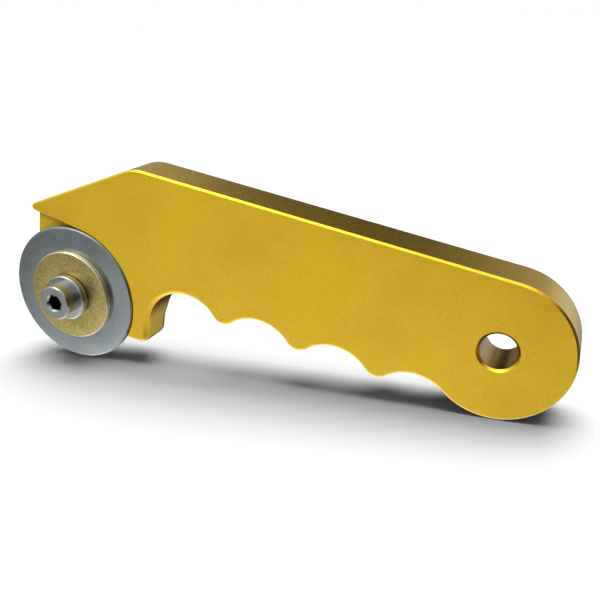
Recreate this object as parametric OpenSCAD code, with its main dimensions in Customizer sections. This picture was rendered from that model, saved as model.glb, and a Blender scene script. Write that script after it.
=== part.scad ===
// Hand-held rotary honing tool: finger-grooved plate handle with a turning disc in a front pocket.
// Millimetres. The design frame has X along the straight top edge, Z up from it, Y into the plate.
// The stand() transform leans the tool so the disc rim and the round tail both rest on the floor.

/* [Handle plate] */
// plate thickness
plate_t = 12.7; // [10:0.1:14]
// radius of the round tail, half the handle width
tail_r = 17.2; // [14:0.1:19]
// distance of the tail centre from the design origin
tail_x = 92.5; // [85:0.1:100]
// where the sloped nose meets the top edge
corner_x = -5.5; // [-10:0.1:0]
// slope of the nose below the top edge
nose_angle = 30; // [20:1:40]
// rounding between nose and top edge
nose_r = 10.6; // [4:0.1:16]
// front end of the plate
front_x = -36.3; // [-42:0.1:-32]
// rounding of the beak tip
tip_r = 1.05; // [0.8:0.05:3]
// bottom edge of the leg and web
leg_z = -48; // [-52:0.1:-44]
// hanging hole radius
hole_r = 4.35; // [3:0.05:6]
// hanging hole edge chamfer
hole_c = 0.65; // [0.2:0.05:1]

/* [Finger grooves] */
// radius of the first groove, behind the leg
groove_r1 = 11.2; // [9:0.1:13]
// radius of the other grooves
groove_r = 11.2; // [9:0.1:14]
// first groove position along the handle
groove_x1 = 13.6; // [10:0.1:17]
// second groove position
groove_x2 = 34.8; // [31:0.1:38]
// third groove position
groove_x3 = 56; // [52:0.1:60]
// height of the groove crowns below the top edge
groove_top = 29.6; // [26:0.1:32]
// rounding of the cusps between grooves
cusp_r = 3.7; // [1:0.1:4]

/* [Wheel pocket] */
// axle position along the handle
wheel_x = -22.2; // [-25:0.1:-19]
// axle position below the top edge
wheel_z = -40.6; // [-44:0.1:-37]
// radius of the pocket wall about the axle
pocket_r = 19.8; // [19.6:0.1:21]
// pocket depth from the front face
pocket_d = 3.2; // [2:0.1:4]
// radius of the hub recess in the pocket floor
recess_r = 10.2; // [8:0.1:12]
// depth of the hub recess floor from the front face
recess_y = 4.5; // [3.7:0.1:5.5]

/* [Wheel] */
// disc radius
disc_r = 19.3; // [17:0.1:19.6]
// disc front face from the plate front face
disc_y = 0.3; // [0:0.1:1]
// disc thickness
disc_t = 2.1; // [1:0.1:3]
// rim bevel of the disc
disc_c = 0.45; // [0.2:0.05:0.9]
// clamp flange radius
flange_r = 12.6; // [10:0.1:14]
// thickness of each clamp flange
flange_t = 0.85; // [0.6:0.05:1.6]
// hub tube radius
hub_r = 8.2; // [7.5:0.1:9]

/* [Axle] */
// washer radius
washer_r = 6.35; // [5.5:0.05:7]
// washer thickness
washer_t = 2; // [1:0.1:2.4]
// screw head radius
head_r = 4.76; // [4.5:0.01:6]
// screw head height
head_h = 4.3; // [3:0.1:6.4]
// hexagon key width across flats
key_af = 3.97; // [3:0.01:5]
// screw length under the head
screw_l = 15.9; // [12:0.1:19]
// bearing outer radius
bearing_r = 6.35; // [6:0.05:7]
// bearing width
bearing_w = 3.175; // [3:0.025:4]
// number of bearing balls
ball_n = 9; // [7:1:10]
// bearing ball radius
ball_r = 0.79; // [0.6:0.01:1]

/* [Hidden] */
e = 0.003;
screw_r = 3.175;
insert_r = 4.3;
lip_r = 5.5;
washer_y0 = disc_y - 2 * flange_t - 0.2 - washer_t;
washer_y1 = washer_y0 + washer_t;
bearing_y0 = washer_y1 + 0.65;
bearing_y1 = bearing_y0 + bearing_w;
bearing_yc = (bearing_y0 + bearing_y1) / 2;
pitch_r = 4.76;
race_i = 4.15;
race_o = 5.37;
groove_z1 = -groove_top - groove_r1;
groove_z = -groove_top - groove_r;
leg_x = groove_x1 - groove_r1;
// last groove touches the tail circle
tail_z = -tail_r;
g4_dz = tail_z - groove_z;
g4_dx = sqrt(pow(tail_r + groove_r, 2) - pow(g4_dz, 2));
groove_x4 = tail_x - g4_dx;
dx_w = tail_x - wheel_x;
dz_w = tail_z - wheel_z;
dist_w = sqrt(dx_w * dx_w + dz_w * dz_w);
lean = atan2(dz_w, dx_w) + asin((disc_r - tail_r) / dist_w);
floor_z = -wheel_x * sin(lean) + wheel_z * cos(lean) - disc_r;
x_min = wheel_x * cos(lean) + wheel_z * sin(lean) - disc_r;
x_max = tail_x * cos(lean) + tail_z * sin(lean) + tail_r;
y_min = washer_y0 - head_h;

// colours
col_gold = [0.80, 0.62, 0.14];
col_zinc = [0.78, 0.70, 0.38];
col_steel = [0.60, 0.64, 0.66];
col_bright = [0.80, 0.80, 0.80];

// meeting point of two circles, on the upper side
function meet(a, ra, b, rb) =
    let(d = norm(b - a), u = (b - a) / d, s = (ra * ra - rb * rb + d * d) / (2 * d),
        h = sqrt(ra * ra - s * s))
    a + s * u + h * [-u[1], u[0]];
function toward(a, b, r) = a + r * (b - a) / norm(b - a);

g1 = [groove_x1, groove_z1];
g2 = [groove_x2, groove_z];
g3 = [groove_x3, groove_z];
g4 = [groove_x4, groove_z];
c1 = meet(g1, groove_r1 + cusp_r, g2, groove_r + cusp_r);
c2 = meet(g2, groove_r + cusp_r, g3, groove_r + cusp_r);
c3 = meet(g3, groove_r + cusp_r, g4, groove_r + cusp_r);
tc = [tail_x, tail_z];
nose_t = nose_r * tan(nose_angle / 2);
nc = [corner_x + nose_t, -nose_r];
tip_x = front_x + tip_r;
tip_z = ((tip_x - corner_x) * sin(nose_angle) - tip_r) / cos(nose_angle);
tip = [tip_x, tip_z];
axle = [wheel_x, wheel_z];
// upward normal of the pocket roof, a straight line that runs bite inside the tip and the pocket wall
bite = 0.05;
roof_a = atan2(tip_z - wheel_z, tip_x - wheel_x)
    - acos((tip_r + pocket_r - 2 * bite) / norm(tip - axle));
roof_n = [cos(roof_a), sin(roof_a)];
slope_n = [-sin(nose_angle), cos(nose_angle)];

module stand() {
    translate([-(x_min + x_max) / 2, -(y_min + plate_t) / 2, -floor_z])
        rotate([0, lean, 0]) children();
}

// flat shape in the X-Z plane, thick from y0 to y1
module slab(y0, y1) {
    translate([0, y1, 0]) rotate([90, 0, 0]) linear_extrude(height = y1 - y0) children();
}

// turned shape about the axle, points are [radius, y]
module turned(points) {
    translate([wheel_x, 0, wheel_z]) rotate([-90, 0, 0])
        rotate_extrude($fn = 96) polygon(points);
}

module spot(c, r) {
    translate(c) circle(r = r, $fn = 120);
}

module skeleton() {
    polygon([
        [tail_x, 0],
        [corner_x + nose_t, 0],
        [corner_x - nose_t * cos(nose_angle), -nose_t * sin(nose_angle)],
        tip + tip_r * slope_n,
        [front_x, tip_z],
        [front_x, leg_z + 3],
        [front_x + 3, leg_z],
        [leg_x - 1.5, leg_z],
        [leg_x, leg_z + 1.5],
        [leg_x, groove_z1],
        toward(c1, g1, cusp_r - 0.02) + [0.05, -0.1],
        toward(c1, g2, cusp_r - 0.02) + [-0.05, -0.1],
        toward(c2, g2, cusp_r - 0.02) + [0.05, -0.1],
        toward(c2, g3, cusp_r - 0.02) + [-0.05, -0.1],
        toward(c3, g3, cusp_r - 0.02) + [0.05, -0.1],
        toward(c3, g4, cusp_r - 0.02) + [-0.05, -0.1],
        toward(tc, g4, tail_r - 0.05) + [0.1, -0.05]
    ]);
}

module outline() {
    difference() {
        skeleton();
        spot(g1, groove_r1);
        spot(g2, groove_r);
        spot(g3, groove_r);
        spot(g4, groove_r);
    }
    spot(c1, cusp_r + e);
    spot(c2, cusp_r + e);
    spot(c3, cusp_r + e);
    spot(tc, tail_r + e);
    spot(nc, nose_r + e);
    spot(tip, tip_r + e);
    spot([front_x + 3, leg_z + 3], 3 + e);
    spot([leg_x - 1.5, leg_z + 1.5], 1.5 + e);
}

module pocket() {
    slab(-1, pocket_d) {
        spot(axle, pocket_r);
        difference() {
            polygon([tip, tip - (tip_r - bite) * roof_n, axle + (pocket_r - bite) * roof_n,
                [wheel_x, leg_z - 2], [front_x - 2, leg_z - 2], [front_x - 2, tip_z]]);
            spot(tip, tip_r + e);
        }
    }
}

module hole_cut() {
    translate([tail_x, 0, tail_z]) rotate([-90, 0, 0])
        rotate_extrude($fn = 96) polygon([
            [0, -1], [hole_r + hole_c + 1, -1], [hole_r, hole_c], [hole_r, plate_t - hole_c],
            [hole_r + hole_c + 1, plate_t + 1], [0, plate_t + 1]]);
}

module axle_cut() {
    turned([[0, -1], [recess_r, -1], [recess_r, recess_y], [insert_r + 0.02, recess_y],
        [insert_r + 0.02, plate_t - 0.4], [insert_r + 1.42, plate_t + 1], [0, plate_t + 1]]);
}

module handle() {
    color(col_gold) stand() difference() {
        slab(0, plate_t) outline();
        pocket();
        hole_cut();
        axle_cut();
    }
}

module thread_insert() {
    color(col_bright) stand() turned([[screw_r + 0.02, recess_y + 0.3], [insert_r, recess_y + 0.3],
        [insert_r, plate_t - 0.6], [screw_r + 0.4, plate_t - 0.6], [screw_r + 0.02, plate_t - 1]]);
}

module axle_screw() {
    color(col_bright) stand() difference() {
        turned([[0, y_min], [head_r - 0.5, y_min], [head_r, y_min + 0.5], [head_r, washer_y0],
            [screw_r, washer_y0], [screw_r, washer_y0 + screw_l - 0.6],
            [screw_r - 0.6, washer_y0 + screw_l], [0, washer_y0 + screw_l]]);
        translate([wheel_x, y_min + 2.4, wheel_z]) rotate([90, 0, 0])
            cylinder(r = key_af / sqrt(3), h = 4, $fn = 6);
        turned([[0, y_min - 1], [key_af / sqrt(3) + 1, y_min - 1], [key_af / sqrt(3), y_min],
            [key_af / sqrt(3) - 0.45, y_min + 0.45], [0, y_min + 0.45]]);
    }
}

module screw_washer() {
    color(col_bright) stand() turned([[screw_r + 0.2, washer_y0], [washer_r - 0.3, washer_y0],
        [washer_r, washer_y0 + 0.3], [washer_r, washer_y1], [screw_r + 0.2, washer_y1]]);
}

module front_spacer() {
    color(col_bright) stand() turned([[screw_r + 0.05, washer_y1], [race_i - 0.15, washer_y1],
        [race_i - 0.15, bearing_y0], [screw_r + 0.05, bearing_y0]]);
}

module rear_spacer() {
    color(col_bright) stand() turned([[screw_r + 0.05, bearing_y1], [race_i - 0.15, bearing_y1],
        [race_i - 0.15, recess_y - 0.8], [race_i + 1, recess_y - 0.8], [race_i + 1, recess_y],
        [screw_r + 0.05, recess_y]]);
}

module ball_track(r) {
    translate([wheel_x, bearing_yc, wheel_z]) rotate([-90, 0, 0])
        rotate_extrude($fn = 96) translate([pitch_r, 0]) circle(r = r, $fn = 32);
}

module bearing_inner_ring() {
    color(col_bright) stand() difference() {
        turned([[screw_r + 0.02, bearing_y0], [race_i, bearing_y0], [race_i, bearing_y1],
            [screw_r + 0.02, bearing_y1]]);
        ball_track(ball_r + 0.04);
    }
}

module bearing_outer_ring() {
    color(col_bright) stand() difference() {
        turned([[race_o, bearing_y0], [bearing_r, bearing_y0], [bearing_r, bearing_y1],
            [race_o, bearing_y1]]);
        ball_track(ball_r + 0.04);
    }
}

module ball_set(r) {
    for (i = [0 : ball_n - 1])
        translate([wheel_x + pitch_r * cos(i * 360 / ball_n), bearing_yc,
            wheel_z + pitch_r * sin(i * 360 / ball_n)])
            sphere(r = r, $fn = 32);
}

module bearing_balls() {
    color(col_bright) stand() ball_set(ball_r);
}

module bearing_cage() {
    color(col_zinc) stand() difference() {
        turned([[race_i + 0.2, bearing_yc - 1], [race_o - 0.2, bearing_yc - 1],
            [race_o - 0.2, bearing_yc + 1], [race_i + 0.2, bearing_yc + 1]]);
        for (i = [0 : ball_n - 1])
            translate([wheel_x, bearing_yc, wheel_z]) rotate([0, -i * 360 / ball_n, 0])
                translate([3, 0, 0]) rotate([0, 90, 0])
                    cylinder(r = ball_r + 0.05, h = 4, $fn = 32);
    }
}

module shield(y) {
    turned([[race_i + 0.1, y], [race_o, y], [race_o, y + 0.2], [race_i + 0.1, y + 0.2]]);
}

module shield_front() {
    color(col_bright) stand() shield(bearing_y0 + 0.15);
}

module shield_rear() {
    color(col_bright) stand() shield(bearing_y1 - 0.35);
}

module hub() {
    hub_y0 = disc_y - flange_t - flange_t / 2;
    hub_y1 = recess_y - 0.4;
    color(col_zinc) stand() turned([[bearing_r + 0.02, hub_y0], [hub_r, hub_y0],
        [hub_r, disc_y + disc_t], [recess_r - 0.6, disc_y + disc_t], [recess_r - 0.6, hub_y1],
        [lip_r, hub_y1], [lip_r, bearing_y1 + 0.05], [bearing_r + 0.02, bearing_y1 + 0.05]]);
}

module clamp_ring() {
    color(col_zinc) stand() turned([[hub_r + 0.03, disc_y - flange_t],
        [flange_r - 0.2, disc_y - flange_t], [flange_r - 0.05, disc_y - flange_t + 0.15],
        [flange_r - 0.05, disc_y - 0.15], [flange_r - 0.2, disc_y], [hub_r + 0.03, disc_y]]);
}

module front_flange() {
    y0 = disc_y - 2 * flange_t;
    color(col_zinc) stand() turned([[lip_r, y0], [flange_r - 0.25, y0], [flange_r, y0 + 0.25],
        [flange_r, y0 + flange_t - 0.15], [flange_r - 0.15, y0 + flange_t],
        [hub_r + 0.02, y0 + flange_t], [hub_r + 0.02, y0 + flange_t / 2],
        [lip_r, y0 + flange_t / 2]]);
}

module disc() {
    color(col_steel) stand() turned([[hub_r + 0.03, disc_y], [disc_r - disc_c, disc_y],
        [disc_r, disc_y + disc_c], [disc_r, disc_y + disc_t - disc_c],
        [disc_r - disc_c, disc_y + disc_t], [hub_r + 0.03, disc_y + disc_t]]);
}

handle();
thread_insert();
axle_screw();
screw_washer();
front_spacer();
rear_spacer();
bearing_inner_ring();
bearing_outer_ring();
bearing_cage();
bearing_balls();
shield_front();
shield_rear();
hub();
clamp_ring();
front_flange();
disc();
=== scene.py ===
import math

import bmesh
import bpy
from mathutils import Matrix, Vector


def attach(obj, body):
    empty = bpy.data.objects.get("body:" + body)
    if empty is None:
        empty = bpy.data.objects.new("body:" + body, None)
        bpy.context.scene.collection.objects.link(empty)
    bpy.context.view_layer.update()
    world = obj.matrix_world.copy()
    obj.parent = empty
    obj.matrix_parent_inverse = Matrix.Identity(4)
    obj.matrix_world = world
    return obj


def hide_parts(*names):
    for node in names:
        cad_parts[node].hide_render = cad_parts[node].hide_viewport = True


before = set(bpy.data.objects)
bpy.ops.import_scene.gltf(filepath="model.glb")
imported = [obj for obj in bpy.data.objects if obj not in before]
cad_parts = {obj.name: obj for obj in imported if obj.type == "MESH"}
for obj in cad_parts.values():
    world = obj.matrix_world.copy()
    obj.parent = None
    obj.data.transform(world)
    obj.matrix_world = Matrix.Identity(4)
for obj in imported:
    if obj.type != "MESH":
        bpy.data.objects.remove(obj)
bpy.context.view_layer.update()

# ---------------------------------------------------------------- dimensions, millimetres, design frame
# X runs along the straight top edge, Z up from it, Y into the plate from its front face.
MM = 0.001
PLATE_T = 12.7
TAIL_R, TAIL_X = 17.2, 92.5
CORNER_X, NOSE_ANGLE, NOSE_R = -5.5, 30.0, 10.6
FRONT_X, TIP_R, LEG_Z = -36.3, 1.05, -48.0
FRONT_FOOT_R, LEG_FOOT_R = 3.0, 1.5
HOLE_R, HOLE_C = 4.35, 0.65
GROOVE_R, GROOVE_TOP, CUSP_R = 11.2, 29.6, 3.7
GROOVE_XS = (13.6, 34.8, 56.0)
WHEEL_X, WHEEL_Z = -22.2, -40.6
POCKET_R, POCKET_D, RECESS_R, RECESS_Y = 19.8, 3.2, 10.2, 4.5
DISC_R, DISC_Y, DISC_T, DISC_C = 19.3, 0.3, 2.1, 0.45
FLANGE_R, FLANGE_T, HUB_R = 12.6, 0.85, 8.2
WASHER_R, WASHER_T, WASHER_GAP = 6.35, 2.0, 0.2
HEAD_R, HEAD_H, KEY_AF, SCREW_L = 4.76, 4.3, 3.97, 15.9
SCREW_R, INSERT_R, LIP_R = 3.175, 4.3, 5.5
BEARING_R, BEARING_W, PITCH_R, RACE_I, RACE_O, BALL_R = 6.35, 3.175, 4.76, 4.15, 5.37, 0.79
SPACER_T = 0.65
SHIELD_T, SHIELD_INSET = 0.2, 0.15
THREAD_ROOT, THREAD_PITCH = 2.55, 1.27
KEY_TURN, KEY_DEPTH = 12, 2.3
WASHER_Y0 = DISC_Y - 2 * FLANGE_T - WASHER_GAP - WASHER_T
WASHER_Y1 = WASHER_Y0 + WASHER_T
BEARING_Y0 = WASHER_Y1 + SPACER_T
BEARING_Y1 = BEARING_Y0 + BEARING_W
Y_MIN = WASHER_Y0 - HEAD_H
TAIL_Z = -TAIL_R
GROOVE_Z = -GROOVE_TOP - GROOVE_R
LEG_X = GROOVE_XS[0] - GROOVE_R

# the tool stands on its disc and its tail, so the design frame leans by this angle
dx_w, dz_w = TAIL_X - WHEEL_X, TAIL_Z - WHEEL_Z
LEAN = math.atan2(dz_w, dx_w) + math.asin((DISC_R - TAIL_R) / math.hypot(dx_w, dz_w))
CA, SA = math.cos(LEAN), math.sin(LEAN)
FLOOR_Z = -WHEEL_X * SA + WHEEL_Z * CA - DISC_R
X_MID = (WHEEL_X * CA + WHEEL_Z * SA - DISC_R + TAIL_X * CA + TAIL_Z * SA + TAIL_R) / 2
Y_MID = (Y_MIN + PLATE_T) / 2


def row(x, y, z):
    """Design millimetres to metres in the shared frame."""
    return Vector(((x * CA + z * SA - X_MID), y - Y_MID, (-x * SA + z * CA - FLOOR_Z))) * MM


# ---------------------------------------------------------------- mesh helpers
def make_object(name, verts, faces):
    """Mesh object from points in the design frame, with its faces turned outward."""
    mesh = bpy.data.meshes.new(name)
    mesh.from_pydata([row(*v) for v in verts], [], faces)
    mesh.validate()
    bm = bmesh.new()
    bm.from_mesh(mesh)
    bmesh.ops.recalc_face_normals(bm, faces=bm.faces)
    bm.to_mesh(mesh)
    bm.free()
    obj = bpy.data.objects.new(name, mesh)
    bpy.context.scene.collection.objects.link(obj)
    return obj


def smooth(obj, angle=32.0):
    """Smooth shading, kept sharp at edges over the angle in degrees."""
    mesh = obj.data
    mesh.polygons.foreach_set("use_smooth", [True] * len(mesh.polygons))
    mesh.set_sharp_from_angle(angle=math.radians(angle))
    mesh.update()


def weighted(obj):
    """Normals follow the large faces, so a flat face stays flat up to its round."""
    m = obj.modifiers.new("weighted", "WEIGHTED_NORMAL")
    m.keep_sharp = True
    m.weight = 80


def fillet(points):
    """Closed profile [(r, y, corner radius)] to a dense list of (r, y) with rounded corners."""
    out = []
    n = len(points)
    for i in range(n):
        p = Vector(points[i][:2])
        rad = points[i][2] if len(points[i]) > 2 else 0.0
        a = Vector(points[i - 1][:2]) - p
        b = Vector(points[(i + 1) % n][:2]) - p
        if rad <= 0 or a.length < 1e-9 or b.length < 1e-9:
            out.append((p.x, p.y))
            continue
        ua, ub = a.normalized(), b.normalized()
        half = math.acos(max(-1, min(1, ua.dot(ub)))) / 2
        cut_back = min(rad / math.tan(half), 0.49 * min(a.length, b.length))
        rad = cut_back * math.tan(half)
        centre = p + (ua + ub).normalized() * (rad / math.sin(half))
        s, t = p + ua * cut_back - centre, p + ub * cut_back - centre
        a0, a1 = math.atan2(s.y, s.x), math.atan2(t.y, t.x)
        d = (a1 - a0 + math.pi) % (2 * math.pi) - math.pi
        steps = max(3, int(abs(d) / math.radians(16)) + 1)
        for k in range(steps + 1):
            ang = a0 + d * k / steps
            out.append((centre.x + rad * math.cos(ang), centre.y + rad * math.sin(ang)))
    return out


def ring_solid(name, rings, closed, centre=(WHEEL_X, WHEEL_Z), phase=0.0):
    """Solid about a line along Y from rings [(y, [radius of each segment])].

    When closed, the last ring joins the first. Otherwise both ends are capped. The phase turns the first
    vertex, as a share of a segment.
    """
    segments = len(rings[0][1])
    verts, faces = [], []
    for y, radii in rings:
        for k, r in enumerate(radii):
            t = 2 * math.pi * (k + phase) / segments
            verts.append((centre[0] + r * math.cos(t), y, centre[1] + r * math.sin(t)))
    n = len(rings)
    for i in range(n if closed else n - 1):
        a, b = i * segments, ((i + 1) % n) * segments
        for k in range(segments):
            k2 = (k + 1) % segments
            faces.append((a + k, a + k2, b + k2, b + k))
    if not closed:
        faces.append(tuple(range(segments)))
        faces.append(tuple(reversed(range((n - 1) * segments, n * segments))))
    return make_object(name, verts, faces)


def turned(name, points, segments=192):
    """Smooth turned solid about the axle. points: [(radius, y, corner radius)], a closed loop."""
    obj = ring_solid(name, [(y, [r] * segments) for r, y in fillet(points)], True)
    smooth(obj)
    return obj


def lathe_at(name, x, z, profile, segments=160):
    """Round cutter about a line along Y through (x, z), from an open profile [(radius, y)]."""
    return ring_solid(name, [(y, [r] * segments) for r, y in profile], False, (x, z), 0.5)


def prism(name, loop, y0, y1, far_loop=None):
    """Cutter between two matching closed loops of (x, z), straight-sided when only one is given."""
    n = len(loop)
    verts = [(x, y0, z) for x, z in loop] + [(x, y1, z) for x, z in far_loop or loop]
    faces = [tuple(range(n)), tuple(reversed(range(n, 2 * n)))]
    faces += [(i, (i + 1) % n, n + (i + 1) % n, n + i) for i in range(n)]
    return make_object(name, verts, faces)


def cut(obj, cutter):
    """Cuts the object with an exact boolean and removes the cutter."""
    m = obj.modifiers.new("cut", "BOOLEAN")
    m.operation = "DIFFERENCE"
    m.solver = "EXACT"
    m.object = cutter
    dg = bpy.context.evaluated_depsgraph_get()
    done = bpy.data.meshes.new_from_object(obj.evaluated_get(dg), depsgraph=dg)
    obj.modifiers.clear()
    old = obj.data
    obj.data = done
    bpy.data.meshes.remove(old)
    bpy.data.objects.remove(cutter)


# ---------------------------------------------------------------- the handle's outline
def arc(c, r, a0, a1, sign, tag, step=2.0):
    """Points (x, z, outward normal x, z, tag) along an arc, angles in degrees."""
    n = max(3, int(abs(a1 - a0) / step) + 1)
    out = []
    for k in range(n + 1):
        t = math.radians(a0 + (a1 - a0) * k / n)
        x, z = c[0] + r * math.cos(t), c[1] + r * math.sin(t)
        out.append((x, z, sign * math.cos(t), sign * math.sin(t), tag))
    return out


def meet(a, ra, b, rb):
    """The point at distance ra from a and rb from b, on the left of the line from a to b."""
    d = math.hypot(b[0] - a[0], b[1] - a[1])
    u = ((b[0] - a[0]) / d, (b[1] - a[1]) / d)
    s = (ra * ra - rb * rb + d * d) / (2 * d)
    h = math.sqrt(ra * ra - s * s)
    return (a[0] + s * u[0] - h * u[1], a[1] + s * u[1] + h * u[0])


def ray(a, b):
    """Direction from a to b, in degrees."""
    return math.degrees(math.atan2(b[1] - a[1], b[0] - a[0]))


g4_x = TAIL_X - math.sqrt((TAIL_R + GROOVE_R) ** 2 - (TAIL_Z - GROOVE_Z) ** 2)
grooves = [(x, GROOVE_Z) for x in GROOVE_XS] + [(g4_x, GROOVE_Z)]
cusps = [meet(grooves[i], GROOVE_R + CUSP_R, grooves[i + 1], GROOVE_R + CUSP_R) for i in range(3)]
tail = (TAIL_X, TAIL_Z)
nose = (CORNER_X + NOSE_R * math.tan(math.radians(NOSE_ANGLE / 2)), -NOSE_R)
tip_x = FRONT_X + TIP_R
slope = math.radians(NOSE_ANGLE)
tip_z = ((tip_x - CORNER_X) * math.sin(slope) - TIP_R) / math.cos(slope)
# angle of the roof's upward normal; the roof is the straight line that touches the tip and the pocket wall
ROOF_A = math.atan2(tip_z - WHEEL_Z, tip_x - WHEEL_X) - math.acos(
    (TIP_R + POCKET_R) / math.hypot(tip_x - WHEEL_X, tip_z - WHEEL_Z))
RUN_STEP, RUN_MIN = 1.6, 2.4  # spacing on straight runs, and the shortest run that is divided


def outline():
    """The plate's outline, counter-clockwise from the top edge, with an edge zone for each point."""
    pts = []
    pts += arc(nose, NOSE_R, 90, 90 + NOSE_ANGLE, 1, "top")
    pts += arc((tip_x, tip_z), TIP_R, 90 + NOSE_ANGLE, 180, 1, "tip", 7)
    pts += arc((FRONT_X + FRONT_FOOT_R, LEG_Z + FRONT_FOOT_R), FRONT_FOOT_R, 180, 270, 1, "front", 5)
    pts += arc((LEG_X - LEG_FOOT_R, LEG_Z + LEG_FOOT_R), LEG_FOOT_R, 270, 360, 1, "corner", 7)
    pts += arc(grooves[0], GROOVE_R, 180, ray(grooves[0], cusps[0]), -1, "groove1")
    for i in range(3):
        c, g = cusps[i], grooves[i + 1]
        pts += arc(c, CUSP_R, 360 + ray(c, grooves[i]), 360 + ray(c, g), 1, "cusp", 4)
        end = cusps[i + 1] if i < 2 else tail
        pts += arc(g, GROOVE_R, ray(g, c), ray(g, end), -1, "groove")
    pts += arc(tail, TAIL_R, ray(tail, grooves[3]), 90, 1, "tail", 1.5)
    after = {"corner": "wall", "tip": "front", "front": "bottom"}
    dense = []
    for i, p in enumerate(pts):  # drops doubled points and divides the straight runs
        q = pts[(i + 1) % len(pts)]
        d = math.hypot(q[0] - p[0], q[1] - p[1])
        if d < 1e-4:
            continue
        dense.append(p)
        steps = int(d / RUN_STEP)
        if d > RUN_MIN and steps > 1:
            ex, ez = (q[0] - p[0]) / d, (q[1] - p[1]) / d
            # the loop runs counter-clockwise, so outward is to the right of travel
            for k in range(1, steps):
                x, z = p[0] + ex * d * k / steps, p[1] + ez * d * k / steps
                dense.append((x, z, ez, -ex, after.get(p[4], "top")))
    return dense


# edge break per zone: front size, front roundness, back inset, back depth, back roundness
EDGE = {
    "top": (0.45, 0.0, 0.60, 0.60, 0.0),
    "tip": (0.28, 0.0, 0.50, 0.50, 0.0),
    "front": (0.28, 0.0, 0.60, 0.60, 0.0),
    "bottom": (0.75, 0.7, 0.75, 2.20, 0.7),
    "corner": (1.35, 1.0, 1.30, 4.60, 1.0),
    "wall": (2.00, 1.0, 1.40, 4.60, 1.0),
    "groove1": (1.25, 1.0, 1.60, 2.60, 1.0),
    "cusp": (0.80, 1.0, 1.30, 1.30, 1.0),
    "groove": (0.80, 1.0, 1.30, 1.30, 1.0),
    "tail": (0.50, 0.0, 0.60, 0.60, 0.0),
}
EDGE_LIMIT = {"corner": 1.42, "tip": 0.60}  # below the outline's own radius there, so the inset never folds
EASE = 3.6  # reach along the outline over which one zone turns into the next
LEG_PULL = 3.1  # how far the leg's back edge is drawn forward of its wall
ROWS = 6


def edge_sizes(pts):
    """Edge sizes eased along the outline, so no zone ends in a step."""
    n = len(pts)
    pos = [0.0]
    for i in range(n):
        a, b = pts[i], pts[(i + 1) % n]
        pos.append(pos[-1] + math.hypot(b[0] - a[0], b[1] - a[1]))
    total = pos[-1]
    out = []
    for i in range(n):
        acc, wsum = [0.0] * 5, 0.0
        for j in range(n):
            d = abs(pos[i] - pos[j])
            d = min(d, total - d)
            if d > EASE:
                continue
            w = (math.cos(math.pi * d / EASE) + 1) * (pos[j + 1] - pos[j])
            acc = [x + w * y for x, y in zip(acc, EDGE[pts[j][4]])]
            wsum += w
        v = [x / wsum for x in acc]
        limit = EDGE_LIMIT.get(pts[i][4])
        if limit:
            v[0], v[2] = min(v[0], limit), min(v[2], limit)
        out.append(v)
    return out


def ease(v):
    """0 to 1 with level ends."""
    v = min(1.0, max(0.0, v))
    return v * v * (3 - 2 * v)


def leg_share(x, z):
    """1 on the leg's inner wall and lower corner, easing to 0 along the bottom edge and up the first groove."""
    along, up = ease((x - LEG_X + 12) / 11), ease((GROOVE_Z + 9.5 - z) / 9)
    return along * up if x < LEG_X + 8 else 0.0


def build_handle():
    """The plate with its edges broken: rows of the outline, each moved inward and along the thickness."""
    pts = outline()
    sizes = edge_sizes(pts)
    n = len(pts)
    verts, rings = [], []

    def ring(t, back):
        ids = []
        for (x, z, nx, nz, _), (fs, fr, bi, bd, br) in zip(pts, sizes):
            m = br if back else fr
            qi, qy = 1 - math.sin(t * math.pi / 2), 1 - math.cos(t * math.pi / 2)
            inset = (bi if back else fs) * ((1 - t) * (1 - m) + qi * m)
            depth = (bd if back else fs) * (t * (1 - m) + qy * m)
            y = PLATE_T - depth if back else depth
            pull = LEG_PULL * leg_share(x, z) * qi if back else 0.0
            verts.append((x - nx * inset - pull, y, z - nz * inset))
            ids.append(len(verts) - 1)
        rings.append(ids)

    for k in range(ROWS + 1):
        ring(k / ROWS, False)
    for k in range(ROWS, -1, -1):
        ring(k / ROWS, True)
    faces = [tuple(rings[0]), tuple(reversed(rings[-1]))]
    for a, b in zip(rings, rings[1:]):
        for i in range(n):
            j = (i + 1) % n
            faces.append((a[i], a[j], b[j], b[i]))
    return make_object("handle_plate", verts, faces)


WALL_SWEEP = math.radians(130)  # of the pocket's round wall, from the roof down past the open bottom
WALL_STEPS, TIP_STEPS = 120, 16
CLEAR_X, CLEAR_Z = 6, 14  # how far the pocket cutter runs out past the plate's front and bottom
POCKET_EDGE = 0.22


def pocket_loop(off):
    """The pocket's edge as (x, z), moved into the plate by off: round wall, open bottom and front, beak, roof."""
    loop = []
    for k in range(WALL_STEPS + 1):
        t = ROOF_A - WALL_SWEEP * k / WALL_STEPS
        r = POCKET_R + off
        loop.append((WHEEL_X + r * math.cos(t), WHEEL_Z + r * math.sin(t)))
    loop += [(WHEEL_X, LEG_Z - CLEAR_Z), (FRONT_X - CLEAR_X, LEG_Z - CLEAR_Z), (FRONT_X - CLEAR_X, tip_z)]
    r = TIP_R + 0.002 - off  # a hair over the tip, so no sliver of the outline is left on it
    for k in range(TIP_STEPS + 1):
        t = math.pi + ROOF_A * k / TIP_STEPS
        loop.append((tip_x + r * math.cos(t), tip_z + r * math.sin(t)))
    return loop


handle = build_handle()
cut(handle, prism("pocket_cutter", pocket_loop(0), -2.0, POCKET_D))
cut(handle, prism("pocket_edge_cutter", pocket_loop(POCKET_EDGE + 0.3), -0.3, POCKET_EDGE, pocket_loop(0)))
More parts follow.
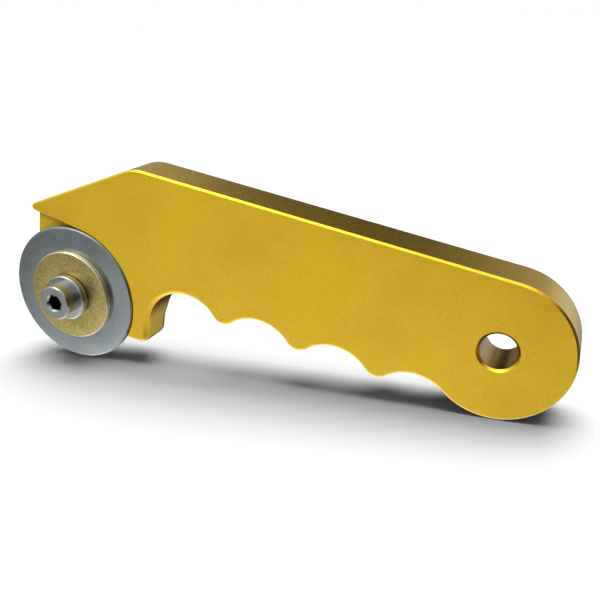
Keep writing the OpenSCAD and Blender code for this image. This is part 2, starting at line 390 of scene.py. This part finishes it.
# each cutter runs 1 mm past the plate, and its outermost cones are the edge breaks
cut(handle, lathe_at("hole_cutter", TAIL_X, TAIL_Z, [
    (HOLE_R + HOLE_C + 1, -1), (HOLE_R + 0.06, HOLE_C - 0.06),
    (HOLE_R + 0.015, HOLE_C + 0.01), (HOLE_R, HOLE_C + 0.08),
    (HOLE_R, PLATE_T - HOLE_C - 0.08), (HOLE_R + 0.015, PLATE_T - HOLE_C - 0.01),
    (HOLE_R + 0.06, PLATE_T - HOLE_C + 0.06), (HOLE_R + HOLE_C + 1, PLATE_T + 1)]))
cut(handle, lathe_at("bore_cutter", WHEEL_X, WHEEL_Z, [
    (RECESS_R + 0.15, -1), (RECESS_R + 0.15, POCKET_D), (RECESS_R, POCKET_D + 0.15), (RECESS_R, RECESS_Y),
    (INSERT_R + 0.02, RECESS_Y), (INSERT_R + 0.02, PLATE_T - 0.4), (INSERT_R + 1.42, PLATE_T + 1)]))
smooth(handle, 30)
weighted(handle)

# ---------------------------------------------------------------- turned parts
disc = turned("honing_disc", [
    (HUB_R + 0.03, DISC_Y, 0.05), (DISC_R - DISC_C, DISC_Y, 0.10), (DISC_R, DISC_Y + DISC_C, 0.10),
    (DISC_R, DISC_Y + DISC_T - DISC_C, 0.10), (DISC_R - DISC_C, DISC_Y + DISC_T, 0.10),
    (HUB_R + 0.03, DISC_Y + DISC_T, 0.05)], 288)
clamp = turned("clamp_washer", [
    (HUB_R + 0.03, DISC_Y - FLANGE_T), (FLANGE_R - 0.2, DISC_Y - FLANGE_T, 0.06),
    (FLANGE_R - 0.05, DISC_Y - FLANGE_T + 0.15, 0.06), (FLANGE_R - 0.05, DISC_Y - 0.15, 0.06),
    (FLANGE_R - 0.2, DISC_Y, 0.06), (HUB_R + 0.03, DISC_Y)], 240)
fy = DISC_Y - 2 * FLANGE_T
flange = turned("front_flange_plate", [
    (LIP_R, fy, 0.10), (FLANGE_R - 0.25, fy, 0.08), (FLANGE_R, fy + 0.25, 0.10),
    (FLANGE_R, fy + FLANGE_T - 0.15, 0.06), (FLANGE_R - 0.15, fy + FLANGE_T, 0.05),
    (HUB_R + 0.02, fy + FLANGE_T, 0.04), (HUB_R + 0.02, fy + FLANGE_T / 2), (LIP_R, fy + FLANGE_T / 2, 0.05)], 240)
hub_y0, hub_y1 = DISC_Y - 1.5 * FLANGE_T, RECESS_Y - 0.4
hub = turned("hub_tube", [
    (BEARING_R + 0.02, hub_y0, 0.08), (HUB_R, hub_y0, 0.05), (HUB_R, DISC_Y + DISC_T),
    (RECESS_R - 0.6, DISC_Y + DISC_T, 0.1), (RECESS_R - 0.6, hub_y1, 0.15), (LIP_R, hub_y1, 0.1),
    (LIP_R, BEARING_Y1 + 0.05, 0.05), (BEARING_R + 0.02, BEARING_Y1 + 0.05)])
washer = turned("head_washer", [
    (SCREW_R + 0.2, WASHER_Y0, 0.12), (WASHER_R - 0.3, WASHER_Y0, 0.16), (WASHER_R, WASHER_Y0 + 0.3, 0.18),
    (WASHER_R, WASHER_Y1, 0.12), (SCREW_R + 0.2, WASHER_Y1, 0.08)])
front_sp = turned("inner_spacer_front", [
    (SCREW_R + 0.05, WASHER_Y1, 0.04), (RACE_I - 0.15, WASHER_Y1, 0.06),
    (RACE_I - 0.15, BEARING_Y0, 0.06), (SCREW_R + 0.05, BEARING_Y0, 0.04)], 128)
rear_sp = turned("inner_spacer_rear", [
    (SCREW_R + 0.05, BEARING_Y1, 0.04), (RACE_I - 0.15, BEARING_Y1, 0.06), (RACE_I - 0.15, RECESS_Y - 0.8, 0.1),
    (RACE_I + 1, RECESS_Y - 0.8, 0.1), (RACE_I + 1, RECESS_Y, 0.06), (SCREW_R + 0.05, RECESS_Y, 0.04)], 128)


def track(side):
    """Arc of the ball track on a ring, side 1 on the inner ring and -1 on the outer."""
    yc = (BEARING_Y0 + BEARING_Y1) / 2
    r = BALL_R + 0.04
    edge = RACE_I if side > 0 else RACE_O
    reach = math.sqrt(max(r * r - (PITCH_R - edge) ** 2, 0))
    half = math.asin(reach / r)
    pts = []
    for k in range(13):
        t = -half + 2 * half * k / 12
        pts.append((PITCH_R - side * r * math.cos(t), yc + r * math.sin(t)))
    return pts


inner = turned("bearing_ring_inner", [
    (SCREW_R + 0.02, BEARING_Y0, 0.1), (RACE_I, BEARING_Y0, 0.08), *track(1),
    (RACE_I, BEARING_Y1, 0.08), (SCREW_R + 0.02, BEARING_Y1, 0.1)], 160)
outer = turned("bearing_ring_outer", [
    (BEARING_R, BEARING_Y0, 0.15), (RACE_O, BEARING_Y0, 0.06), *track(-1),
    (RACE_O, BEARING_Y1, 0.06), (BEARING_R, BEARING_Y1, 0.15)], 160)


def shield_piece(name, y, out):
    """Pressed shield with a rolled step, dished by a few hundredths."""
    d = 0.06 * out
    lip, roll, step = RACE_I + 0.1, RACE_I + 0.45, RACE_I + 0.6
    return turned(name, [
        (lip, y, 0.03), (roll, y, 0.05), (step, y + max(d, 0), 0.05), (RACE_O, y, 0.04),
        (RACE_O, y + SHIELD_T, 0.04), (step, y + SHIELD_T + min(d, 0), 0.05),
        (roll, y + SHIELD_T, 0.05), (lip, y + SHIELD_T, 0.03)], 128)


sh_f = shield_piece("shield_plate_front", BEARING_Y0 + SHIELD_INSET, 1)
sh_r = shield_piece("shield_plate_rear", BEARING_Y1 - SHIELD_INSET - SHIELD_T, -1)

# ---------------------------------------------------------------- screw with thread and key socket, and insert
SEG = 192
ROWS_PER_PITCH = 10


def flat(r):
    return [r] * SEG


def thread_rings(y_start, y_end, root, crest):
    """Rings of an outside thread between two heights, fading into the plain shank at both ends."""
    rows = int((y_end - y_start) / THREAD_PITCH * ROWS_PER_PITCH)
    run_out = THREAD_PITCH * 0.8
    rings = []
    for i in range(rows + 1):
        y = y_start + (y_end - y_start) * i / rows
        fade = max(min(1.0, (y - y_start) / run_out, (y_end - y) / run_out), 0.0)
        ring = []
        for k in range(SEG):
            u = ((y - y_start) / THREAD_PITCH + k / SEG) % 1.0
            v = min(1.0, max(0.0, (abs(2 * u - 1) - 0.1) / 0.78))
            ring.append(crest - (crest - root) * (1 - v) * fade)
        rings.append((y, ring))
    return rings


# the last point only steers the corner under the head, and the thread starts there instead
head_profile = fillet([
    (HEAD_R - 0.34, Y_MIN, 0.0), (HEAD_R, Y_MIN + 0.34, 0.22), (HEAD_R, WASHER_Y0, 0.10),
    (SCREW_R, WASHER_Y0, 0.15), (SCREW_R, WASHER_Y0 + 3, 0)])[:-1]
tip_y = WASHER_Y0 + SCREW_L
screw_rings = [(y, flat(r)) for r, y in head_profile]
screw_rings += thread_rings(WASHER_Y0 + 2.2, tip_y - 0.7, THREAD_ROOT, SCREW_R)
screw_rings += [
    (tip_y - 0.6, flat(SCREW_R - 0.02)), (tip_y - 0.05, flat(SCREW_R - 0.56)), (tip_y, flat(SCREW_R - 0.64))]
screw = ring_solid("cap_screw", screw_rings, False)

key_r = KEY_AF / 2 / math.cos(math.pi / 6)
key_turns = [math.radians(60 * k + KEY_TURN) for k in range(6)]
hexagon = [(WHEEL_X + key_r * math.cos(t), WHEEL_Z + key_r * math.sin(t)) for t in key_turns]
cut(screw, prism("socket_cutter", hexagon, Y_MIN - 1, Y_MIN + KEY_DEPTH))
cut(screw, lathe_at("socket_cone", WHEEL_X, WHEEL_Z, [
    (key_r + 1.25, Y_MIN - 1), (key_r + 0.25, Y_MIN), (key_r - 0.20, Y_MIN + 0.45), (0.4, Y_MIN + 0.46)], 96))
smooth(screw, 30)
weighted(screw)

insert = ring_solid("steel_insert", [
    (RECESS_Y + 0.3, flat(INSERT_R - 0.12)), (RECESS_Y + 0.42, flat(INSERT_R)),
    (PLATE_T - 0.72, flat(INSERT_R)), (PLATE_T - 0.6, flat(INSERT_R - 0.12)),
    (PLATE_T - 0.6, flat(SCREW_R + 0.4)), (PLATE_T - 1.0, flat(SCREW_R + 0.02)),
    (RECESS_Y + 0.6, flat(SCREW_R + 0.02)), (RECESS_Y + 0.3, flat(SCREW_R + 0.3))], True)
smooth(insert, 30)

# ---------------------------------------------------------------- node helpers for materials
def new_material(name):
    """Material with one Principled shader: the material, its node tree and the shader."""
    mat = bpy.data.materials.new(name)
    mat.use_nodes = True
    tree = mat.node_tree
    tree.nodes.clear()
    out = tree.nodes.new("ShaderNodeOutputMaterial")
    shader = tree.nodes.new("ShaderNodeBsdfPrincipled")
    tree.links.new(shader.outputs["BSDF"], out.inputs["Surface"])
    return mat, tree, shader


def plug(tree, value, socket):
    """Links another node's output to the socket, or sets the socket to a constant or a colour."""
    if isinstance(value, bpy.types.NodeSocket):
        tree.links.new(value, socket)
    else:
        socket.default_value = (*value, 1) if isinstance(value, tuple) else value


def coords(tree, scale=(1, 1, 1), offset=(0, 0, 0)):
    tex = tree.nodes.new("ShaderNodeTexCoord")
    mapping = tree.nodes.new("ShaderNodeMapping")
    mapping.inputs["Scale"].default_value = scale
    mapping.inputs["Location"].default_value = offset
    tree.links.new(tex.outputs["Object"], mapping.inputs["Vector"])
    return mapping.outputs["Vector"]


def noise(tree, vector, scale, detail=3.0, rough=0.5):
    n = tree.nodes.new("ShaderNodeTexNoise")
    n.inputs["Scale"].default_value = scale
    n.inputs["Detail"].default_value = detail
    n.inputs["Roughness"].default_value = rough
    tree.links.new(vector, n.inputs["Vector"])
    return n.outputs["Fac"]


def remap(tree, value, a, b, c, d):
    """Carries a..b to c..d, held at the ends."""
    m = tree.nodes.new("ShaderNodeMapRange")
    for k, v in zip(("From Min", "From Max", "To Min", "To Max"), (a, b, c, d)):
        m.inputs[k].default_value = v
    tree.links.new(value, m.inputs["Value"])
    return m.outputs["Result"]


def ramp(tree, value, stops):
    """Colour ramp from stops [(position, (r, g, b))]; a bare number is a grey."""
    r = tree.nodes.new("ShaderNodeValToRGB")
    while len(r.color_ramp.elements) < len(stops):
        r.color_ramp.elements.new(0.5)
    for el, (p, c) in zip(r.color_ramp.elements, stops):
        el.position = p
        el.color = (*c, 1) if isinstance(c, tuple) else (c, c, c, 1)
    tree.links.new(value, r.inputs["Fac"])
    return r.outputs["Color"]


def mix(tree, fac, a, b, blend="MIX"):
    m = tree.nodes.new("ShaderNodeMix")
    m.data_type = "RGBA"
    m.blend_type = blend
    for socket, v in ((m.inputs[0], fac), (m.inputs[6], a), (m.inputs[7], b)):
        plug(tree, v, socket)
    return m.outputs[2]


def math_node(tree, op, *values):
    m = tree.nodes.new("ShaderNodeMath")
    m.operation = op
    for socket, v in zip(m.inputs, values):
        plug(tree, v, socket)
    return m.outputs[0]


def times(tree, a, b):
    return math_node(tree, "MULTIPLY", a, b)


def combine(tree, x, y, z):
    c = tree.nodes.new("ShaderNodeCombineXYZ")
    for socket, v in zip(c.inputs, (x, y, z)):
        plug(tree, v, socket)
    return c.outputs[0]


def split(tree, vector):
    sep = tree.nodes.new("ShaderNodeSeparateXYZ")
    tree.links.new(vector, sep.inputs[0])
    return sep.outputs


def bump(tree, height, strength, distance, normal=None):
    b = tree.nodes.new("ShaderNodeBump")
    b.inputs["Strength"].default_value = strength
    b.inputs["Distance"].default_value = distance
    tree.links.new(height, b.inputs["Height"])
    if normal is not None:
        tree.links.new(normal, b.inputs["Normal"])
    return b.outputs["Normal"]


def about(tree, centre):
    """Object coordinates measured from a centre, and the distance from the line along Y through it."""
    x, y, z = split(tree, coords(tree, offset=(-centre.x, 0, -centre.z)))
    reach = math_node(tree, "SQRT", math_node(
        tree, "ADD", math_node(tree, "POWER", x, 2.0), math_node(tree, "POWER", z, 2.0)))
    return reach, x, y, z


AXLE = row(WHEEL_X, 0, WHEEL_Z)


def polar(tree):
    """Radius and angle about the axle, and the height along it."""
    r, x, y, z = about(tree, AXLE)
    return r, math_node(tree, "ARCTAN2", z, x), y


def turning(tree, a, b, c, detail, rough):
    """Noise stretched along the cut, from three coordinates that are already scaled."""
    return noise(tree, combine(tree, a, b, c), 1.0, detail, rough)


# ---------------------------------------------------------------- materials
def anodised():
    """Satin gold anodising: blasted faces, smoother milled edges with cutter lines, a broad cloud, fine grain;
    painted shade in the hanging hole and in the pocket's corner.
    """
    mat, tree, b = new_material("anodised_gold_satin")
    v = coords(tree)
    broad = noise(tree, v, 38, 3, 0.55)
    fine = noise(tree, v, 1900, 4, 0.62)
    grain = noise(tree, v, 5200, 3, 0.6)
    lines = noise(tree, coords(tree, (700, 9000, 700)), 1.0, 3, 0.6)
    normal = split(tree, tree.nodes.new("ShaderNodeTexCoord").outputs["Normal"])
    face = remap(tree, math_node(tree, "ABSOLUTE", normal[1]), 0.80, 0.97, 0, 1)
    base = ramp(tree, remap(tree, broad, 0.35, 0.65, 0, 1), [
        (0.0, (0.850, 0.545, 0.013)), (0.50, (0.895, 0.592, 0.015)), (1.0, (0.935, 0.632, 0.020))])
    tone = ramp(tree, fine, [(0.25, (0.90, 0.89, 0.84)), (0.5, 1.0), (0.78, (1.05, 1.06, 1.10))])
    colour = mix(tree, 1.0, base, tone, "MULTIPLY")

    # painted shade: the colour inside the hanging hole is darkened, standing in for the shade in the hole
    reach = about(tree, row(TAIL_X, 0, TAIL_Z))[0]
    hole_shade = remap(tree, reach, (HOLE_R + 0.12) * MM, (HOLE_R + 0.03) * MM, 0, 0.9)
    colour = mix(tree, hole_shade, colour, (0.330, 0.185, 0.020))

    # painted shade: a dark band in the corner between the pocket's floor and its roof, standing in for the roof's
    # shadow on the floor
    r_axle, ang, y = polar(tree)
    to_roof = times(tree, r_axle, math_node(tree, "COSINE", math_node(tree, "SUBTRACT", ang, ROOF_A - LEAN)))

    def by_depth(a, b, at_a, at_b):
        return remap(tree, y, (POCKET_D + a - Y_MID) * MM, (POCKET_D + b - Y_MID) * MM, at_a, at_b)

    def by_roof(a, b, at_a, at_b):
        return remap(tree, to_roof, (POCKET_R + a) * MM, (POCKET_R + b) * MM, at_a, at_b)

    shade_from = times(tree, by_roof(-3.4, -0.3, 0, 1), by_depth(-0.5, -0.1, 0, 1))
    shade_until = times(tree, by_depth(0.02, 0.3, 1, 0), by_roof(0.02, 0.2, 1, 0))
    colour = mix(tree, times(tree, shade_from, shade_until), colour, (0.150, 0.070, 0.008))
    tree.links.new(colour, b.inputs["Base Color"])

    b.inputs["Metallic"].default_value = 1.0
    b.inputs["Coat Weight"].default_value = 0.45
    b.inputs["Coat IOR"].default_value = 1.6
    b.inputs["Coat Roughness"].default_value = 0.30
    rough = tree.nodes.new("ShaderNodeMix")
    tree.links.new(face, rough.inputs[0])
    tree.links.new(remap(tree, lines, 0.3, 0.7, 0.22, 0.28), rough.inputs[2])
    tree.links.new(remap(tree, broad, 0.3, 0.7, 0.50, 0.56), rough.inputs[3])
    tree.links.new(rough.outputs[0], b.inputs["Roughness"])
    milled = bump(tree, lines, 0.05, 0.00006)
    blasted = bump(tree, fine, 0.16, 0.00012, milled)
    tree.links.new(bump(tree, times(tree, grain, face), 0.26, 0.00007, blasted), b.inputs["Normal"])
    return mat


def ground():
    """Ground tool steel: fine concentric wheel marks, a few deeper lines, a faint uneven oxide."""
    mat, tree, b = new_material("ground_steel_satin")
    r, ang, _ = polar(tree)
    rings = turning(tree, times(tree, r, 5200.0), times(tree, ang, 1.2), 0.0, 4, 0.7)
    lines = turning(tree, times(tree, r, 1500.0), times(tree, ang, 0.5), 3.0, 3, 0.6)
    v = coords(tree)
    cloud = noise(tree, v, 90, 4, 0.6)
    speck = noise(tree, v, 1400, 3, 0.5)
    base = ramp(tree, remap(tree, cloud, 0.3, 0.7, 0, 1), [
        (0.0, (0.305, 0.342, 0.352)), (0.5, (0.360, 0.398, 0.405)), (1.0, (0.425, 0.458, 0.460))])
    streak = ramp(tree, rings, [(0.30, (0.90, 0.91, 0.92)), (0.52, 1.0), (0.72, (1.06, 1.06, 1.05))])
    dark = ramp(tree, speck, [(0.66, 1.0), (0.74, (0.80, 0.83, 0.86))])
    bevel = remap(tree, r, (DISC_R - DISC_C - 0.05) * MM, (DISC_R - DISC_C + 0.10) * MM, 0, 1)
    face = mix(tree, 1.0, mix(tree, 1.0, base, streak, "MULTIPLY"), dark, "MULTIPLY")
    tree.links.new(mix(tree, bevel, face, (0.30, 0.32, 0.32)), b.inputs["Base Color"])
    b.inputs["Metallic"].default_value = 1.0
    b.inputs["Anisotropic"].default_value = 0.25
    tree.links.new(remap(tree, lines, 0.3, 0.7, 0.19, 0.27), b.inputs["Roughness"])
    tree.links.new(bump(tree, rings, 0.12, 0.00006, bump(tree, lines, 0.08, 0.00010)), b.inputs["Normal"])
    return mat


def zinc():
    """Yellow zinc passivation: brassy film, green and pink drift, turned face under it, film rubbed off the rim,
    its lighter rim colour also a painted highlight.
    """
    mat, tree, b = new_material("yellow_zinc_passivated")
    v = coords(tree)
    r, ang, _ = polar(tree)
    drift = noise(tree, v, 330, 4, 0.66)
    patch = noise(tree, coords(tree, offset=(0.13, 0.4, 0.21)), 420, 4, 0.65)
    fine = noise(tree, v, 1700, 3, 0.6)
    turn = turning(tree, times(tree, r, 4200.0), times(tree, ang, 0.9), 1.0, 3, 0.6)
    hue = ramp(tree, remap(tree, drift, 0.30, 0.70, 0, 1), [
        (0.00, (0.430, 0.410, 0.180)), (0.28, (0.520, 0.430, 0.150)), (0.50, (0.600, 0.475, 0.170)),
        (0.72, (0.620, 0.450, 0.160)), (1.00, (0.560, 0.390, 0.170))])
    green = ramp(tree, patch, [(0.50, 1.0), (0.72, (0.80, 0.98, 0.86))])
    mottle = ramp(tree, fine, [(0.30, (0.70, 0.71, 0.68)), (0.5, 1.0), (0.72, (1.22, 1.20, 1.12))])
    # the film is lightened at the rim: partly wear, partly a painted highlight standing in for the bright line of
    # light along the rim
    wear_and_highlight = remap(tree, r, (FLANGE_R - 0.40) * MM, (FLANGE_R - 0.15) * MM, 0.0, 0.62)
    film = mix(tree, 1.0, mix(tree, 0.8, hue, green, "MULTIPLY"), mottle, "MULTIPLY")
    tree.links.new(mix(tree, wear_and_highlight, film, (0.92, 0.86, 0.66)), b.inputs["Base Color"])
    b.inputs["Metallic"].default_value = 1.0
    tree.links.new(remap(tree, patch, 0.3, 0.7, 0.26, 0.40), b.inputs["Roughness"])
    tree.links.new(bump(tree, turn, 0.10, 0.00005, bump(tree, fine, 0.10, 0.00006)), b.inputs["Normal"])
    return mat


def bright(name, base, rough_lo, rough_hi, turn_strength, socket=False):
    """Bright turned metal with light lathe lines and handling haze; in a key socket, painted shade turns the colour
    near black deep inside.
    """
    mat, tree, b = new_material(name)
    r, ang, y = polar(tree)
    haze = noise(tree, coords(tree), 320, 4, 0.6)
    turn = turning(tree, times(tree, r, 3600.0), times(tree, y, 3600.0), times(tree, ang, 0.6), 3, 0.6)
    lo = tuple(c * 0.88 for c in base)
    hi = tuple(min(1.0, c * 1.08) for c in base)
    colour = ramp(tree, remap(tree, haze, 0.3, 0.7, 0, 1), [(0.0, lo), (0.5, base), (1.0, hi)])
    if socket:
        # painted shade: deep in the key socket the colour goes near black, standing in for the shade in the socket
        top = (Y_MIN - Y_MID) * MM
        deep = remap(tree, y, top + 0.5 * MM, top + 1.7 * MM, 0, 1)
        inside = remap(tree, r, KEY_AF * 0.62 * MM, KEY_AF * 0.56 * MM, 0, 1)
        colour = mix(tree, times(tree, deep, inside), colour, (0.012, 0.012, 0.012))
    tree.links.new(colour, b.inputs["Base Color"])
    b.inputs["Metallic"].default_value = 1.0
    tree.links.new(remap(tree, haze, 0.3, 0.7, rough_lo, rough_hi), b.inputs["Roughness"])
    tree.links.new(bump(tree, turn, turn_strength, 0.00004), b.inputs["Normal"])
    return mat


gold_m, steel_m, zinc_m = anodised(), ground(), zinc()
plated_m = bright("plated_steel_bright", (0.50, 0.51, 0.50), 0.10, 0.19, 0.10)
screw_m = bright("cap_screw_plated", (0.44, 0.46, 0.45), 0.10, 0.20, 0.10, socket=True)
bearing_m = bright("bearing_steel_polished", (0.66, 0.67, 0.68), 0.06, 0.13, 0.05)
cage_m = bright("cage_brass_machined", (0.66, 0.47, 0.16), 0.22, 0.34, 0.12)


def dress(obj, mat, slot, body, *nodes):
    """Gives a piece its material and its body, and hides the nodes it stands for. The slot argument is not used."""
    obj.data.materials.clear()
    obj.data.materials.append(mat)
    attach(obj, body)
    if nodes:
        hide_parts(*nodes)


dress(handle, gold_m, "anodised_gold", "handle_body", "handle")
dress(insert, plated_m, "stainless", "handle_body", "thread_insert")
dress(screw, screw_m, "stainless", "handle_body", "axle_screw")
dress(washer, plated_m, "stainless", "handle_body", "screw_washer")
dress(front_sp, plated_m, "stainless", "handle_body", "front_spacer")
dress(rear_sp, plated_m, "stainless", "handle_body", "rear_spacer")
dress(inner, bearing_m, "bearing_steel", "handle_body", "bearing_inner_ring")
dress(outer, bearing_m, "bearing_steel", "wheel", "bearing_outer_ring")
dress(sh_f, bearing_m, "bearing_steel", "wheel", "shield_front")
dress(sh_r, bearing_m, "bearing_steel", "wheel", "shield_rear")
dress(hub, zinc_m, "yellow_zinc", "wheel", "hub")
dress(clamp, zinc_m, "yellow_zinc", "wheel", "clamp_ring")
dress(flange, zinc_m, "yellow_zinc", "wheel", "front_flange")
dress(disc, steel_m, "ground_steel", "wheel", "disc")
# the balls and the cage keep their own meshes
for node, mat in (("bearing_balls", bearing_m), ("bearing_cage", cage_m)):
    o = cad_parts[node]
    o.data.materials.clear()
    o.data.materials.append(mat)
    smooth(o, 40)

# ---------------------------------------------------------------- stage
FLOOR_HALF = 40.0
floor_mesh = bpy.data.meshes.new("studio_floor")
floor_mesh.from_pydata([(sx * FLOOR_HALF, sy * FLOOR_HALF, 0) for sx, sy in ((-1, -1), (1, -1), (1, 1), (-1, 1))],
                       [], [(0, 1, 2, 3)])
floor = bpy.data.objects.new("studio_floor", floor_mesh)
bpy.context.scene.collection.objects.link(floor)
floor_m, tree, shader = new_material("floor_pale")
tree.links.new(ramp(tree, noise(tree, coords(tree), 3.0, 2), [
    (0.3, (0.640, 0.641, 0.643)), (0.7, (0.652, 0.653, 0.655))]), shader.inputs["Base Color"])
shader.inputs["Roughness"].default_value = 0.9
shader.inputs["Specular IOR Level"].default_value = 0.1
floor_mesh.materials.append(floor_m)
floor.visible_glossy = False

# ---------------------------------------------------------------- surroundings
# Three of them: the metal mirrors a studio with bright and dark parts, the floor and other diffuse surfaces
# get a low even light, and the camera sees plain white. Directions are x to the tool's tail, y behind it, z up.
SOFT_LEVEL = 0.17
world = bpy.data.worlds.new("studio")
bpy.context.scene.world = world
world.use_nodes = True
tree = world.node_tree
tree.nodes.clear()
w_out = tree.nodes.new("ShaderNodeOutputWorld")
to_x, to_y, to_z = split(tree, tree.nodes.new("ShaderNodeTexCoord").outputs["Generated"])


def along(direction, stops):
    """Ramp over a direction from -1 to 1, so position 0.5 is level with the tool."""
    return ramp(tree, remap(tree, direction, -1.0, 1.0, 0, 1), stops)


# in front: bright below, a dark band under the horizon, a bright ceiling, brightest overhead
by_height = along(to_z, [
    (0.0, (1.40, 1.40, 1.38)), (0.16, (1.15, 1.15, 1.14)), (0.265, (0.86, 0.86, 0.85)), (0.375, 0.30), (0.46, 0.36),
    (0.54, 0.78), (0.66, 1.15), (0.895, (1.10, 1.10, 1.08)), (0.92, (2.70, 2.70, 2.66)), (1.0, (2.30, 2.30, 2.26))])
by_side = along(to_x, [
    (0.04, 0.62), (0.14, 1.0), (0.205, 1.05), (0.235, 1.36), (0.36, 1.16), (0.48, 0.78), (0.60, 0.58)])
in_front = mix(tree, 1.0, by_height, by_side, "MULTIPLY")
# behind: dark in the middle and paler toward both sides, in a band that ends above and below
back_side = along(to_x, [
    (0.0, (0.45, 0.44, 0.42)), (0.16, (0.12, 0.11, 0.10)), (0.22, (0.32, 0.31, 0.29)), (0.28, (0.33, 0.29, 0.25)),
    (0.34, (0.045, 0.030, 0.018)), (0.455, (0.022, 0.014, 0.008)), (0.50, (0.13, 0.11, 0.09)),
    (0.545, (0.32, 0.30, 0.28)), (0.64, (0.30, 0.30, 0.30)), (0.69, (0.74, 0.75, 0.76))])
is_behind = times(tree, times(tree, remap(tree, to_y, 0.22, 0.55, 0, 1), remap(tree, to_z, -0.84, -0.70, 0, 1)),
                  remap(tree, to_z, 0.50, 0.66, 1, 0))
dim = remap(tree, to_z, -0.34, -0.23, 0.85, 1.0)
behind = mix(tree, 1.0, back_side, combine(tree, dim, dim, dim), "MULTIPLY")
# a dark patch past the tail
is_side = times(tree, remap(tree, to_x, 0.56, 0.74, 0, 1),
                times(tree, remap(tree, to_z, 0.46, 0.66, 1, 0), remap(tree, to_z, -0.56, -0.44, 0, 1)))
mirrored = mix(tree, is_side, mix(tree, is_behind, in_front, behind), (0.08, 0.070, 0.06))


def background(colour, strength=1.0):
    w = tree.nodes.new("ShaderNodeBackground")
    plug(tree, colour, w.inputs["Color"])
    w.inputs["Strength"].default_value = strength
    return w.outputs[0]


def pick(is_ray, otherwise, chosen):
    """The chosen background for one kind of ray, and otherwise the other."""
    m = tree.nodes.new("ShaderNodeMixShader")
    for source, socket in zip((is_ray, otherwise, chosen), m.inputs):
        tree.links.new(source, socket)
    return m.outputs[0]


WHITE = (1.0, 1.0, 1.0)
rays = tree.nodes.new("ShaderNodeLightPath").outputs
lit = pick(rays["Is Diffuse Ray"], background(mirrored), background(WHITE, SOFT_LEVEL))
tree.links.new(pick(rays["Is Camera Ray"], lit, background(WHITE)), w_out.inputs["Surface"])

# ---------------------------------------------------------------- light and camera
sun_data = bpy.data.lights.new("soft_key", "SUN")
sun_data.energy = 5.0
sun_data.angle = math.radians(56)
sun = bpy.data.objects.new("soft_key", sun_data)
bpy.context.scene.collection.objects.link(sun)
sun.visible_glossy = False
sun.rotation_euler = Vector((-0.04, -0.24, -0.97)).to_track_quat("-Z", "Y").to_euler()

cam_data = bpy.data.cameras.new("camera")
cam = bpy.data.objects.new("camera", cam_data)
bpy.context.scene.collection.objects.link(cam)
cam.location = (0.07604, -0.15507, 0.08745)
cam.rotation_euler = (math.radians(67.984), math.radians(2.126), math.radians(21.826))
cam_data.sensor_width = 36.0
cam_data.lens = 43.46
cam_data.shift_x, cam_data.shift_y = -0.0035, 0.0269
cam_data.clip_start, cam_data.clip_end = 0.01, 120
bpy.context.scene.camera = cam
bpy.context.scene.view_settings.view_transform = "Standard"
bpy.context.scene.cycles.caustics_reflective = False
